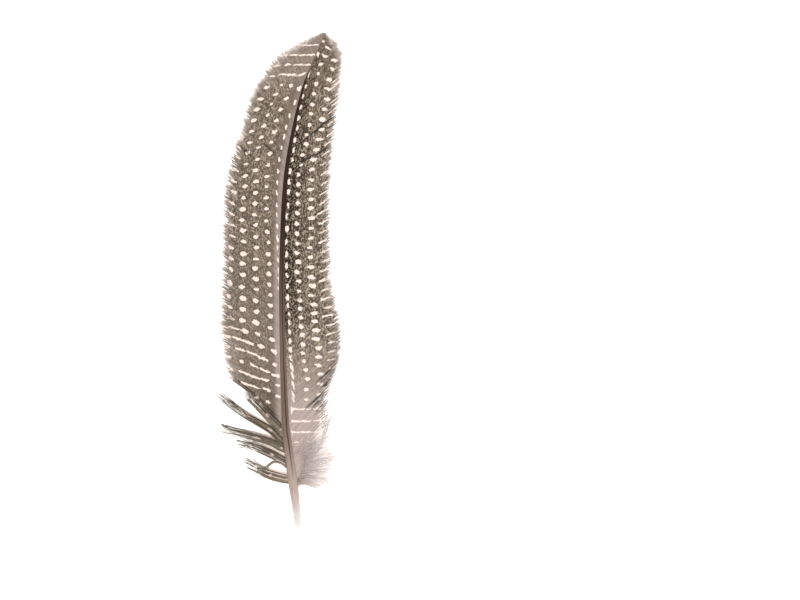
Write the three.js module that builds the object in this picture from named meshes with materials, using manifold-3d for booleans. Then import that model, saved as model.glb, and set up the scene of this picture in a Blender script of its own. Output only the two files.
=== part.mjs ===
// A guinea fowl's wing feather, lying with its outer face up, as it rests on a table.
// Millimetres. +Y runs from the cut end of the quill to the tip, +X is the narrow vane's side and +Z is up.
// The origin is on the table, under the middle of the feather.
import * as THREE from 'three';
import Module from 'manifold-3d';
import { mergeVertices } from 'three/addons/utils/BufferGeometryUtils.js';

// The shaft from its cut end to its tip: across, along, height of its middle, and width.
// The two ends touch the table, and it arches between them.
const SHAFT = [
  [6.4, -91.35, 1.4, 2.9],
  [5.4, -83.5, 1.9, 3.2],
  [4.2, -74.0, 2.5, 3.7],
  [2.5, -61.0, 3.1, 3.4],
  [1.5, -52.0, 3.4, 3.1],
  [0.45, -24.0, 3.9, 2.7],
  [0.25, 8.0, 4.0, 2.35],
  [1.6, 37.0, 3.6, 1.9],
  [5.1, 58.6, 2.9, 1.5],
  [8.9, 73.8, 2.0, 1.05],
  [13.4, 85.2, 0.95, 0.6],
  [16.0, 91.5, 0.25, 0.3],
];
const SHAFT_FLATNESS = 0.96; // the shaft's height over its width
const SHAFT_SIDES = 12;
const SHAFT_STEPS = 28;
const CUT_EDGE = 0.4; // the rounding of the cut end
const CUT_WIDTH = 0.8; // the cut face's width, as a share of the shaft's there

// A vane's barbs in bundles, called locks here. Each row is a barb: the place along the shaft where
// it grows out, and then where its tip lies, across and along. The barbs between are worked out.
const WIDE_VANE = {
  side: -1,
  locks: 28,
  bow: 0.07, // how far a barb bends towards the feather's tip, as a share of its length
  barbs: [
    [-54.2, -19.4, -36.4],
    [-36.8, -22.4, -19.1],
    [-18.3, -22.2, -0.9],
    [0.2, -21.6, 17.6],
    [18.7, -20.5, 36.8],
    [37.2, -15.4, 55.3],
    [52.0, -10.2, 70.9],
    [66.4, -2.4, 82.3],
    [80.1, 7.6, 88.6],
    [88.2, 13.5, 91.1],
  ],
  splits: [],
};
const NARROW_VANE = {
  side: 1,
  locks: 30,
  bow: 0.05,
  barbs: [
    [-75.3, 15.0, -62.3],
    [-70.1, 16.5, -55.3],
    [-59.0, 16.8, -42.4],
    [-51.6, 20.5, -31.6],
    [-36.8, 22.0, -18.3],
    [-18.3, 18.7, -2.0],
    [0.2, 17.9, 16.1],
    [18.7, 17.9, 34.6],
    [37.9, 19.1, 51.2],
    [52.0, 21.3, 67.5],
    [66.4, 22.4, 80.5],
    [80.1, 20.5, 87.5],
    [88.2, 16.8, 90.8],
  ],
  // Where the vane has come apart: the place along the shaft, and how far out the split begins
  splits: [
    [-56.5, 0.35],
    [37.9, 0.2],
    [48.5, 0.5],
  ],
};
const VANE_THICKNESS = 0.3;
const ROOT_INSET = 0.2; // how far past the shaft's middle a barb begins
const ROOT_RISE = 0.15; // how far above the middle it begins, as a share of the shaft's width
const VANE_CREST = 0.7; // how far the longest barbs rise beyond the straight line to the table
const LONGEST_BARB = 28;
const FLAT_MARGIN = 0.93; // past this share of its length a barb lies flat on the table
const NOTCH = 0.92; // past this share a lock stands apart from its neighbours
const NOTCH_SLANT = 0.02; // how much shorter a lock's sides are than its middle
const LOCK_UNEVENNESS = 0.015; // how much the locks' lengths differ, either way, as a share
const UNEVEN_TURN = 2.4; // radians from one lock to the next on the sine wave of their lengths
const SPLIT_GAP = 0.3; // how much of half a lock's width a split opens, before the notch
const LOCK_TIP = 0.5; // how much a lock narrows at its tip
const LOCK_RIDGE = 0.2; // how far a lock's middle stands above its sides
const RIDGE_END = 0.1; // the share of its length over which the ridge runs out
const LOCK_COLUMNS = [0, 0.08, 0.2, 0.35, 0.5, 0.65, 0.8, 0.92, 0.96, 1];

// The torn locks below the wide vane: each has its greatest width and its line from the shaft's
// middle to its tip, as across, along and height
const LOOSE_LOCKS = [
  {
    width: 4.0,
    line: [
      [1.8, -56.3, 3.2], [-0.9, -53.6, 3.3], [-5.4, -48.9, 3.0], [-9.8, -44.9, 1.9], [-13.6, -41.0, 0.9],
    ],
  },
  {
    width: 3.2,
    line: [
      [2.1, -60.0, 3.0], [0.0, -58.7, 3.1], [-3.7, -55.1, 2.9], [-9.4, -51.8, 2.3], [-14.2, -49.1, 1.5],
      [-19.7, -45.1, 0.6], [-23.6, -42.0, 0.3],
    ],
  },
  {
    width: 3.6,
    line: [
      [2.6, -62.8, 2.9], [0.6, -61.7, 3.0], [-4.0, -59.3, 2.6], [-12.2, -57.0, 1.5], [-18.7, -55.5, 0.6],
      [-22.9, -54.0, 0.3],
    ],
  },
  {
    width: 3.8,
    line: [
      [3.3, -67.4, 2.7], [1.0, -66.3, 2.8], [-3.4, -64.0, 2.3], [-8.6, -61.8, 1.4], [-13.2, -60.2, 0.7],
      [-17.1, -59.3, 0.35],
    ],
  },
  {
    width: 1.1,
    line: [[3.5, -70.4, 2.5], [0.4, -67.7, 3.0], [-2.7, -66.9, 3.0], [-5.8, -68.7, 2.2], [-9.4, -71.3, 1.0]],
  },
  {
    width: 4.2,
    line: [
      [4.0, -73.6, 2.4], [1.3, -73.0, 2.4], [-2.9, -72.0, 1.8], [-6.8, -70.7, 1.0], [-10.3, -68.9, 0.5],
      [-14.2, -66.7, 0.3],
    ],
  },
];

// The down below the narrow vane, in the same way
const DOWN_LOCKS = [
  {
    width: 3.4,
    line: [[3.0, -64.6, 2.7], [6.9, -61.7, 2.5], [11.4, -59.3, 1.7], [15.8, -56.8, 0.8], [20.3, -53.4, 0.3]],
  },
  {
    width: 4.0,
    line: [[3.4, -66.8, 2.6], [8.3, -63.9, 2.3], [13.5, -61.6, 1.4], [18.0, -59.7, 0.7], [22.3, -57.6, 0.3]],
  },
  {
    width: 4.2,
    line: [[3.5, -68.6, 2.5], [8.7, -66.2, 2.1], [14.2, -64.4, 1.2], [19.1, -63.2, 0.5], [22.8, -62.3, 0.3]],
  },
  {
    width: 4.2,
    line: [[3.7, -70.2, 2.5], [8.7, -68.4, 2.0], [14.2, -67.2, 1.1], [19.1, -66.6, 0.5], [23.2, -66.4, 0.3]],
  },
  {
    width: 4.2,
    line: [[3.9, -71.8, 2.4], [8.7, -70.5, 1.9], [14.2, -69.9, 1.0], [19.1, -69.9, 0.5], [23.5, -70.4, 0.3]],
  },
  {
    width: 4.0,
    line: [[4.2, -73.6, 2.3], [8.7, -72.8, 1.7], [13.5, -73.0, 0.9], [17.9, -73.9, 0.4], [21.6, -75.2, 0.3]],
  },
  {
    width: 3.2,
    line: [[4.4, -75.4, 2.2], [8.0, -75.6, 1.5], [11.7, -76.5, 0.7], [15.2, -78.2, 0.3]],
  },
];
const LOCK_THICKNESS = 0.56;
const LOCK_STEPS = 8;
const LOCK_ROOT = 0.35; // a lock's width at its root, as a share of its greatest
const SWELL_START = 0.08; // how far along its swell, half a sine wave, a lock begins
const SWELL_SPEED = 1.15; // how fast it goes through the wave
const SWELL_FULLNESS = 0.8; // below 1, the wave is fuller
const LOCK_POINT = 0.06; // its width at its tip, in the same way
const POINT_SLOPE = 2.6; // how fast it widens again behind its tip
const THINNEST = 0.3; // its thickness at the tip, as a share of the greatest

const SAME_PLACE = 1e-5; // points closer than this are one point
const TAUPE = 0x80715f;
const UP = new THREE.Vector3(0, 0, 1);

const smooth = (a) => a * a * (3 - 2 * a);

const limited = (a) => THREE.MathUtils.clamp(a, 0, 1);

const splineThrough = (points) => new THREE.CatmullRomCurve3(points, false, 'catmullrom', 0.5);

// A closed geometry from triangles, each three points
function geometryOf(triangles) {
  const geometry = new THREE.BufferGeometry();
  const places = triangles.flat().flatMap((p) => p.toArray());
  geometry.setAttribute('position', new THREE.Float32BufferAttribute(places, 3));
  return mergeVertices(geometry, SAME_PLACE);
}

// Two triangles for four corners in order, seen from outside counter-clockwise
const quad = (a, b, c, d) => [[a, b, c], [a, c, d]];

// A closed skin over rings of points. The rings turn counter-clockwise as seen from ahead.
function skin(rings) {
  const triangles = [];
  const sides = rings[0].length;
  for (let i = 0; i + 1 < rings.length; i += 1) {
    for (let k = 0; k < sides; k += 1) {
      const next = (k + 1) % sides;
      triangles.push(...quad(rings[i][k], rings[i][next], rings[i + 1][next], rings[i + 1][k]));
    }
  }
  const first = rings[0];
  const last = rings[rings.length - 1];
  for (let k = 1; k + 1 < sides; k += 1) {
    triangles.push([first[0], first[k + 1], first[k]], [last[0], last[k], last[k + 1]]);
  }
  return geometryOf(triangles);
}

// A ring of points round a line's place: an ellipse with so many sides, square to the line
function ringAt(curve, t, width, height, sides) {
  const middle = curve.getPoint(t);
  const along = curve.getTangent(t);
  const across = new THREE.Vector3().crossVectors(along, UP).normalize();
  const above = new THREE.Vector3().crossVectors(across, along);
  return Array.from({ length: sides }, (_, k) => {
    const angle = (2 * Math.PI * k) / sides;
    return middle.clone()
      .addScaledVector(across, -0.5 * width * Math.cos(angle))
      .addScaledVector(above, 0.5 * height * Math.sin(angle));
  });
}

const shaftLine = splineThrough(SHAFT.map(([x, y, z]) => new THREE.Vector3(x, y, z)));
const shaftWidths = splineThrough(SHAFT.map(([, y, , width]) => new THREE.Vector3(width, y, 0)));

// The shaft's middle and width at a place along the feather, found by halving
function shaftAt(y) {
  let low = 0;
  let high = 1;
  while (high - low > SAME_PLACE ** 2) {
    const t = (low + high) / 2;
    if (shaftLine.getPoint(t).y < y) low = t;
    else high = t;
  }
  return { middle: shaftLine.getPoint(low), width: shaftWidths.getPoint(low).x };
}

// The shaft: a tapering rod with a blunt cut end
function shaft() {
  const ring = (t, share) => {
    const width = shaftWidths.getPoint(t).x * share;
    return ringAt(shaftLine, t, width, width * SHAFT_FLATNESS, SHAFT_SIDES);
  };
  const rounding = CUT_EDGE / (SHAFT[1][1] - SHAFT[0][1]) / (SHAFT.length - 1);
  const rings = [ring(0, CUT_WIDTH), ring(rounding, 1)];
  for (let i = 1; i <= SHAFT_STEPS; i += 1) rings.push(ring(i / SHAFT_STEPS, 1));
  return skin(rings);
}

// A vane's middle surface: t picks the barb, from the lowest to the last, and v the place along it
function vanePoint(vane, t, v) {
  const [rootY, tipX, tipY] = vane.line.getPoint(t).toArray();
  const { middle, width } = shaftAt(rootY);
  const root = new THREE.Vector2(middle.x - vane.side * ROOT_INSET, rootY);
  const tip = new THREE.Vector2(tipX, tipY);
  const barb = tip.clone().sub(root);
  const bend = new THREE.Vector2(-barb.y, barb.x).multiplyScalar(vane.side * vane.bow);
  const turn = root.clone().add(tip).multiplyScalar(0.5).add(bend);
  const place = new THREE.QuadraticBezierCurve(root, turn, tip).getPoint(v);
  const out = Math.min(v / FLAT_MARGIN, 1);
  const rootHeight = middle.z + ROOT_RISE * width;
  const crest = (VANE_CREST * barb.length() / LONGEST_BARB) * Math.sin(Math.PI * out);
  const height = THREE.MathUtils.lerp(rootHeight, VANE_THICKNESS / 2, smooth(out)) + crest;
  return new THREE.Vector3(place.x, place.y, height);
}

// How far a place along a barb is past the notch, from 0 there to 1 at the tip
const pastNotch = (v) => Math.max((v - NOTCH) / (1 - NOTCH), 0);

// How far out along the barb the edges between locks begin to part: at the notch, or where a split says
function partings(shape) {
  const starts = Array.from({ length: shape.locks + 1 }, () => NOTCH);
  for (const [place, start] of shape.splits) {
    const distances = starts.map((_, k) => Math.abs(shape.line.getPoint(k / shape.locks).x - place));
    starts[distances.indexOf(Math.min(...distances))] = start;
  }
  return starts;
}

// A vane: locks side by side, joined up to the notches of the margin and parted along the splits.
// Each lock is two strips that share its raised middle, and the locks differ a little in length.
function vane(shape) {
  shape.line = splineThrough(shape.barbs.map((row) => new THREE.Vector3(...row)));
  const starts = partings(shape);
  const strips = [];
  for (let lock = 0; lock < shape.locks; lock += 1) {
    const shorter = LOCK_UNEVENNESS * (1 + Math.sin(UNEVEN_TURN * lock));
    const middleAt = (v) => vanePoint(shape, (lock + 0.5) / shape.locks, v - shorter * pastNotch(v));
    const middle = LOCK_COLUMNS.map((v) => {
      const point = middleAt(v);
      point.z += LOCK_RIDGE * limited((FLAT_MARGIN - v) / RIDGE_END);
      return point;
    });
    const edge = (k) => LOCK_COLUMNS.map((v) => {
      const start = starts[k];
      const opened = start < NOTCH ? SPLIT_GAP * limited((v - start) / (NOTCH - start)) : 0;
      const apart = opened + (LOCK_TIP - opened) * pastNotch(v);
      const side = vanePoint(shape, k / shape.locks, v - (shorter + NOTCH_SLANT) * pastNotch(v));
      return side.lerp(middleAt(v), apart);
    });
    strips.push([edge(lock), middle], [middle, edge(lock + 1)]);
  }
  return geometryOf(slab(strips, shape.side));
}

// A closed slab over strips, each a pair of rows of points. A strip gets a wall wherever the strip
// beside it doesn't meet it.
function slab(strips, side) {
  const half = VANE_THICKNESS / 2;
  const lift = (p, dz) => new THREE.Vector3(p.x, p.y, p.z + dz);
  const meets = (other, row, k) => other[k].distanceTo(row[k]) < SAME_PLACE;
  const runsAlong = (other, row, j) => other && meets(other, row, j) && meets(other, row, j + 1);
  const triangles = [];
  const add = (a, b, c, d) => triangles.push(...(side > 0 ? quad(a, b, c, d) : quad(d, c, b, a)));
  const wall = (a, b) => add(lift(a, -half), lift(b, -half), lift(b, half), lift(a, half));
  strips.forEach(([lower, upper], i) => {
    const last = lower.length - 1;
    for (let j = 0; j < last; j += 1) {
      const around = [lower[j], lower[j + 1], upper[j + 1], upper[j]];
      add(...around.map((p) => lift(p, half)));
      add(...around.map((p) => lift(p, -half)).reverse());
      if (!runsAlong(strips[i - 1]?.[1], lower, j)) wall(lower[j], lower[j + 1]);
      if (!runsAlong(strips[i + 1]?.[0], upper, j)) wall(upper[j + 1], upper[j]);
    }
    wall(upper[0], lower[0]);
    wall(lower[last], upper[last]);
  });
  return triangles;
}

// A single lock: a flat blade with sharp sides that swells from its root and ends in a point
function blade({ width, line }) {
  const curve = splineThrough(line.map((row) => new THREE.Vector3(...row)));
  const rings = [];
  for (let i = 0; i <= LOCK_STEPS; i += 1) {
    const t = i / LOCK_STEPS;
    const wave = Math.sin(Math.PI * limited(t * SWELL_SPEED + SWELL_START));
    const swell = LOCK_ROOT + (1 - LOCK_ROOT) * wave ** SWELL_FULLNESS;
    const taper = Math.min((1 - t) * POINT_SLOPE + LOCK_POINT, 1);
    const thickness = LOCK_THICKNESS * (THINNEST + (1 - THINNEST) * taper);
    rings.push(ringAt(curve, t, width * swell * taper, thickness, 4));
  }
  return skin(rings);
}

const wasm = await Module();
wasm.setup();

function solidOf(geometry) {
  return new wasm.Manifold(new wasm.Mesh({
    numProp: 3,
    vertProperties: new Float32Array(geometry.attributes.position.array),
    triVerts: new Uint32Array(geometry.index.array),
  }));
}

// One piece: the vanes, the torn locks and the down all grow out of the shaft
function joined(geometries) {
  const whole = geometries.map(solidOf).reduce((a, b) => a.add(b));
  const { vertProperties, triVerts } = whole.getMesh();
  const geometry = new THREE.BufferGeometry();
  geometry.setAttribute('position', new THREE.BufferAttribute(vertProperties, 3));
  geometry.setIndex(new THREE.BufferAttribute(triVerts, 1));
  geometry.computeVertexNormals();
  return geometry;
}

const material = new THREE.MeshStandardMaterial({ color: TAUPE, roughness: 0.7, metalness: 0 });
const feather = new THREE.Mesh(
  joined([shaft(), vane(WIDE_VANE), vane(NARROW_VANE), ...LOOSE_LOCKS.map(blade), ...DOWN_LOCKS.map(blade)]),
  material,
);
feather.name = 'feather';

const model = new THREE.Group();
model.add(feather);
export default model;
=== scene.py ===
"""A guinea fowl's wing feather, lying with its outer face up on a white table.

Every barb is a closed strand of its own. They grow out of one curved shaft, lie side by side as the two
vanes, hang loose where the vane is torn, and are fine down at the foot. The white spots are a pattern of
cells that follows the vanes, and no picture is used.
"""

import bpy
import numpy as np
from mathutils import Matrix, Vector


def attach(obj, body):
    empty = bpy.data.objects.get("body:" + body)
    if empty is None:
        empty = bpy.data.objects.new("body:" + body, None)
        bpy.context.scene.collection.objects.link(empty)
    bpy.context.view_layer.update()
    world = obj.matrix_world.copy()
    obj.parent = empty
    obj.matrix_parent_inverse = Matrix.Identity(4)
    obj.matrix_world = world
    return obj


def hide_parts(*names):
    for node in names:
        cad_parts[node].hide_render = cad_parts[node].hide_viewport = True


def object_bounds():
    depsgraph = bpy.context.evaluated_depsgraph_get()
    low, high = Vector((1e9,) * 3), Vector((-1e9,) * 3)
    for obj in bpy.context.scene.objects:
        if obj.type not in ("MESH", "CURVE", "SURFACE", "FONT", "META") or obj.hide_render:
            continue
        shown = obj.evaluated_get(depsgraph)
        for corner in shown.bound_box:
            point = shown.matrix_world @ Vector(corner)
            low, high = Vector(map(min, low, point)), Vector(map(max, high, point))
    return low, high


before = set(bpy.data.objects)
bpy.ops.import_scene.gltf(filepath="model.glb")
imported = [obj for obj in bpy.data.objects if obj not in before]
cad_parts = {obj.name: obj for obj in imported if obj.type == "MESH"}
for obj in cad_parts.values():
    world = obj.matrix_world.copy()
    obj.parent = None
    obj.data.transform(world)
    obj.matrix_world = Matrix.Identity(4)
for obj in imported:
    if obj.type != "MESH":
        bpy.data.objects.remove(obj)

bl_info = {
    "name": "Guinea fowl feather",
    "version": (1, 0, 0),
    "blender": (4, 5, 0),
    "location": "3D View > Sidebar > Feather",
    "description": "A spotted wing feather made of separate barbs",
    "category": "Add Mesh",
}

NODE = "feather"
CAD_BOX = np.array(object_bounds())
MM = 0.001
WIDE, NARROW = -1, 1  # the side of the shaft that a vane is on, along X
WHOLE_TURN = 6.3  # radians, for a wave that starts anywhere

# The sizes below are in millimetres, and mesh_of turns them to metres.
STRAY = 0.9  # how far a hair may pass the solid's box
STRAND_HEIGHTS = 0.06, 5.0  # the least and the greatest height of a loose strand's path
HAIR_HEIGHTS = 0.04, 5.1  # the same for the down's hairs

# The shaft from its cut end to its tip: across, along, height of its middle, and width
SHAFT = np.array([
    (6.4, -91.35, 1.4, 2.9),
    (5.4, -83.5, 1.9, 3.2),
    (4.2, -74.0, 2.5, 3.7),
    (2.5, -61.0, 3.1, 3.4),
    (1.5, -52.0, 3.4, 3.1),
    (0.45, -24.0, 3.9, 2.7),
    (0.25, 8.0, 4.0, 2.35),
    (1.6, 37.0, 3.6, 1.9),
    (5.1, 58.6, 2.9, 1.5),
    (8.9, 73.8, 2.0, 1.05),
    (13.4, 85.2, 0.95, 0.6),
    (16.0, 91.5, 0.25, 0.3),
])
SHAFT_FLATNESS = 0.96  # its height over its width
CUT_EDGE = 0.4  # the rounding of its cut end

# A vane's barbs: the place along the shaft where one grows out, and where its tip lies, across and along.
# The barbs between are worked out.
WIDE_BARBS = np.array([
    (-54.2, -19.4, -36.4),
    (-36.8, -22.4, -19.1),
    (-18.3, -22.2, -0.9),
    (0.2, -21.6, 17.6),
    (18.7, -20.5, 36.8),
    (37.2, -15.4, 55.3),
    (52.0, -10.2, 70.9),
    (66.4, -2.4, 82.3),
    (80.1, 7.6, 88.6),
    (88.2, 13.5, 91.1),
    (91.0, 15.3, 92.0),
])
NARROW_BARBS = np.array([
    (-75.3, 15.0, -62.3),
    (-70.1, 16.5, -55.3),
    (-59.0, 16.8, -42.4),
    (-51.6, 20.5, -31.6),
    (-36.8, 22.0, -18.3),
    (-18.3, 18.7, -2.0),
    (0.2, 17.9, 16.1),
    (18.7, 17.9, 34.6),
    (37.9, 19.1, 51.2),
    (52.0, 21.3, 67.5),
    (66.4, 22.4, 80.5),
    (80.1, 20.5, 87.5),
    (88.2, 16.8, 90.8),
    (91.0, 16.3, 92.0),
])
VANES = {WIDE: WIDE_BARBS, NARROW: NARROW_BARBS}
BOW = {WIDE: 0.07, NARROW: 0.05}  # how far a barb bends towards the tip, as a share of its length
VANE_CREST = 0.7  # how far the longest barbs rise beyond the straight line to the table
LONGEST_BARB = 28
FLAT_MARGIN = 0.93  # past this share of its length a barb lies flat
MARGIN_HEIGHT = 0.15
FRAY_BEGINS = 0.88  # past this share of its length a barb draws to its neighbours and strays

# Where a vane has come apart: the place along the shaft, how far out that begins and ends, as shares of a
# barb's length, and how dark the painted shade in the crevice is
CREVICES = {
    WIDE: [
        (-53.2, 0.1, 1.0, 0.8),
        (-48.5, 0.2, 0.75, 0.35),
        (-33.0, 0.3, 0.95, 0.3),
        (-9.0, 0.45, 0.7, 0.25),
        (33.0, 0.6, 0.95, 0.7),
        (40.5, 0.3, 0.52, 0.8),
    ],
    NARROW: [
        (-61.0, 0.7, 1.05, 0.9),
        (-58.8, 0.6, 1.0, 0.9),
        (-56.5, 0.4, 1.05, 0.95),
        (-54.6, 0.7, 1.05, 0.9),
        (-53.0, 0.6, 1.0, 0.9),
        (-50.5, 0.6, 1.05, 0.95),
        (-48.6, 0.8, 1.05, 0.9),
        (-14.0, 0.1, 0.5, 0.6),
        (13.0, 0.6, 0.9, 0.5),
        (31.0, 0.35, 0.75, 0.6),
        (37.9, 0.1, 1.0, 1.0),
        (39.0, 0.3, 0.6, 1.0),
        (46.8, 0.2, 1.0, 1.0),
        (51.5, 0.6, 0.95, 0.6),
    ],
}

# The torn locks below the wide vane: the greatest width, how many barbs, and the line from the shaft's
# middle to the tip, as across, along and height
LOOSE_LOCKS = [
    (4.2, 34, [(1.8, -56.3, 3.2), (-0.9, -53.6, 3.3), (-5.4, -48.9, 3.0), (-9.8, -44.9, 1.9),
               (-13.6, -41.0, 0.9)]),
    (3.2, 24, [(2.1, -60.0, 3.0), (0.0, -58.7, 3.1), (-3.7, -55.1, 2.9), (-9.4, -51.8, 2.3),
               (-14.2, -49.1, 1.5), (-19.7, -45.1, 0.6), (-23.6, -42.0, 0.3)]),
    (3.6, 27, [(2.6, -62.8, 2.9), (0.6, -61.7, 3.0), (-4.0, -59.3, 2.6), (-12.2, -57.0, 1.5),
               (-18.7, -55.5, 0.6), (-22.9, -54.0, 0.3)]),
    (3.8, 27, [(3.3, -67.4, 2.7), (1.0, -66.3, 2.8), (-3.4, -64.0, 2.3), (-8.6, -61.8, 1.4),
               (-13.2, -60.2, 0.7), (-17.1, -59.3, 0.35)]),
    (1.0, 6, [(3.5, -70.4, 2.5), (0.4, -67.7, 3.0), (-2.7, -66.9, 3.0), (-5.8, -68.7, 2.2),
              (-9.4, -71.3, 1.0)]),
    (4.2, 30, [(4.0, -73.6, 2.4), (1.3, -73.0, 2.4), (-2.9, -72.0, 1.8), (-6.8, -70.7, 1.0),
               (-10.3, -68.9, 0.5), (-14.2, -66.7, 0.3)]),
]

# The middle lines of the down's tufts, in the same way
DOWN_LINES = [
    [(3.0, -64.6, 2.7), (6.9, -61.7, 2.5), (11.4, -59.3, 1.7), (15.8, -56.8, 0.8), (20.3, -53.4, 0.3)],
    [(3.4, -66.8, 2.6), (8.3, -63.9, 2.3), (13.5, -61.6, 1.4), (18.0, -59.7, 0.7), (22.3, -57.6, 0.3)],
    [(3.5, -68.6, 2.5), (8.7, -66.2, 2.1), (14.2, -64.4, 1.2), (19.1, -63.2, 0.5), (22.8, -62.3, 0.3)],
    [(3.7, -70.2, 2.5), (8.7, -68.4, 2.0), (14.2, -67.2, 1.1), (19.1, -66.6, 0.5), (23.2, -66.4, 0.3)],
    [(3.9, -71.8, 2.4), (8.7, -70.5, 1.9), (14.2, -69.9, 1.0), (19.1, -69.9, 0.5), (23.5, -70.4, 0.3)],
    [(4.2, -73.6, 2.3), (8.7, -72.8, 1.7), (13.5, -73.0, 0.9), (17.9, -73.9, 0.4), (21.6, -75.2, 0.3)],
    [(4.4, -75.4, 2.2), (8.0, -75.6, 1.5), (11.7, -76.5, 0.7), (15.2, -78.2, 0.3)],
]

# The spots stand in columns along the shaft. Each row: a place along the feather, and the columns'
# distances from the shaft's middle there.
COLUMNS = {
    WIDE: np.array([
        (88, 1.4, 4.6, 8.4, 12.0, 15.5, 19.0),
        (83.7, 1.9, 5.0, 8.0, 11.7, 15.0, 18.0),
        (79.7, 2.0, 5.0, 9.2, 12.7, 16.0, 19.5),
        (76, 2.2, 6.5, 8.7, 13.0, 16.6, 20.0),
        (72, 1.8, 4.9, 8.3, 13.6, 17.5, 21.0),
        (68, 1.5, 5.2, 9.7, 14.8, 18.4, 22.0),
        (57, 2.9, 7.2, 11.5, 15.8, 19.0, 23.0),
        (45, 3.2, 7.4, 11.8, 15.5, 18.9, 22.9),
        (30, 2.7, 6.6, 10.9, 15.3, 19.3, 23.3),
        (10, 1.5, 4.9, 9.7, 14.5, 18.8, 23.0),
        (-5, 0.9, 4.0, 9.5, 15.0, 19.8, 24.0),
        (-15, 0.3, 4.5, 9.7, 14.8, 19.0, 23.0),
        (-25, -1.0, 3.2, 7.7, 11.9, 16.1, 20.3),
        (-38, -2.2, 2.1, 5.9, 9.9, 14.4, 19.0),
        (-52, -1.5, 3.1, 6.6, 10.6, 14.8, 18.8),
    ]),
    NARROW: np.array([
        (86, 0.2, 4.0, 7.6, 11.0, 14.5, 18.0),
        (80, 0.3, 3.2, 8.0, 11.4, 15.0, 18.5),
        (65, 0.9, 5.0, 10.2, 13.6, 17.4, 21.5),
        (50, 1.4, 5.5, 10.1, 13.9, 18.0, 22.0),
        (40, 1.4, 4.5, 9.4, 13.7, 18.3, 22.3),
        (20, 1.5, 5.3, 10.2, 15.2, 19.9, 24.4),
        (0, 1.9, 6.0, 10.8, 15.9, 20.9, 25.4),
        (-15, 2.7, 6.8, 12.0, 17.2, 21.9, 26.4),
        (-28, 3.0, 7.6, 13.3, 18.4, 23.3, 28.3),
        (-37, 3.5, 8.8, 13.6, 17.8, 22.3, 27.3),
        (-50, 3.2, 7.7, 12.2, 16.7, 21.2, 26.2),
    ]),
}
# Places along the feather, and the number of the spots' row there, counted from the tip down. Beside the
# shaft the narrow vane's rows are its own.
ROWS = {
    WIDE: ([98.0, 87.3, 72.5, 61.4, 9.0, 4.4, -7.2, -28.4, -33.2, -40.6, -46.0],
           [-10.0, -7.0, -3.0, 0.0, 12.75, 14.0, 17.0, 22.0, 23.0, 25.0, 26.3]),
    NARROW: ([98.0, 86.1, 80.2, 46.4, 10.3, -4.0, -36.4, -44.0, -47.3, -52.0, -56.1, -59.6, -80.0],
             [-5.0, -2.0, 0.0, 9.0, 19.0, 23.0, 33.0, 35.0, 36.0, 37.0, 38.0, 39.0, 43.0]),
}
SHAFT_ROWS = (
    [98.0, 89.1, 84.0, 75.9, 52.2, 32.6, 9.7, -6.3, -28.6, -66.0],
    [-4.0, -2.0, -1.0, 0.0, 6.0, 11.0, 16.0, 20.0, 27.0, 38.0],
)
NO_SPOT = (0.01, 0.01, 0)  # the half width, half height and tilt of a spot that doesn't show
BARS_BEGIN = -43.5  # below this place the narrow vane's spots stand in bars
# Where the spots of a row run together into a bar: the row, and the first and last column
BARS = {
    WIDE: [(-7, 1, 3), (-6, 1, 3), (-5, 1, 2), (-4, 2, 3), (20, 5, 6), (21, 4.2, 6), (22, 3.2, 4.8),
           (23, 2.7, 3.6), (24, 3.6, 4.8), (25, 3.5, 4.8)],
    NARROW: [(36, 1.3, 2.5), (37, 1.3, 2.5), (38, 1.3, 2.4)],
}


def linear(colour):
    """An sRGB hex colour as linear red, green, blue and 1. Each part c becomes c / 12.92 up to 0.04045, and
    ((c + 0.055) / 1.055) to the power 2.4 above."""
    parts = np.array([int(colour[i : i + 2], 16) for i in (1, 3, 5)]) / 255
    turned = np.where(parts <= 0.04045, parts / 12.92, ((parts + 0.055) / 1.055) ** 2.4)
    return (*turned.tolist(), 1.0)


def colour_property(name, description, default):
    """A colour that the user can change, given as sRGB hex."""
    return bpy.props.FloatVectorProperty(
        name=name, description=description, subtype="COLOR", size=4, min=0, max=1, default=linear(default)
    )


class FeatherShape(bpy.types.PropertyGroup):
    barbs: bpy.props.IntProperty(name="Barbs", description="Barbs in each vane", default=400, min=40)
    barb_steps: bpy.props.IntProperty(name="Barb steps", description="Points on a barb", default=18, min=6)
    barb_height: bpy.props.FloatProperty(
        name="Barb height", description="Height of a barb's ridge", default=0.1 * MM, unit="LENGTH"
    )
    barb_overlap: bpy.props.FloatProperty(
        name="Barb overlap", description="A barb's width over the distance to the next one", default=1.45
    )
    barb_lean: bpy.props.FloatProperty(
        name="Barb lean", description="How far a barb leans over the next one", default=0.2, subtype="ANGLE"
    )
    wisps: bpy.props.IntProperty(name="Wisps", description="Fine hairs on each margin", default=900, min=0)
    down_strands: bpy.props.IntProperty(name="Down strands", description="Strands of down", default=120)
    down_hairs: bpy.props.IntProperty(name="Down hairs", description="Hairs on each strand", default=34)
    seed: bpy.props.IntProperty(name="Seed", description="Picks the unevenness", default=7)


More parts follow.
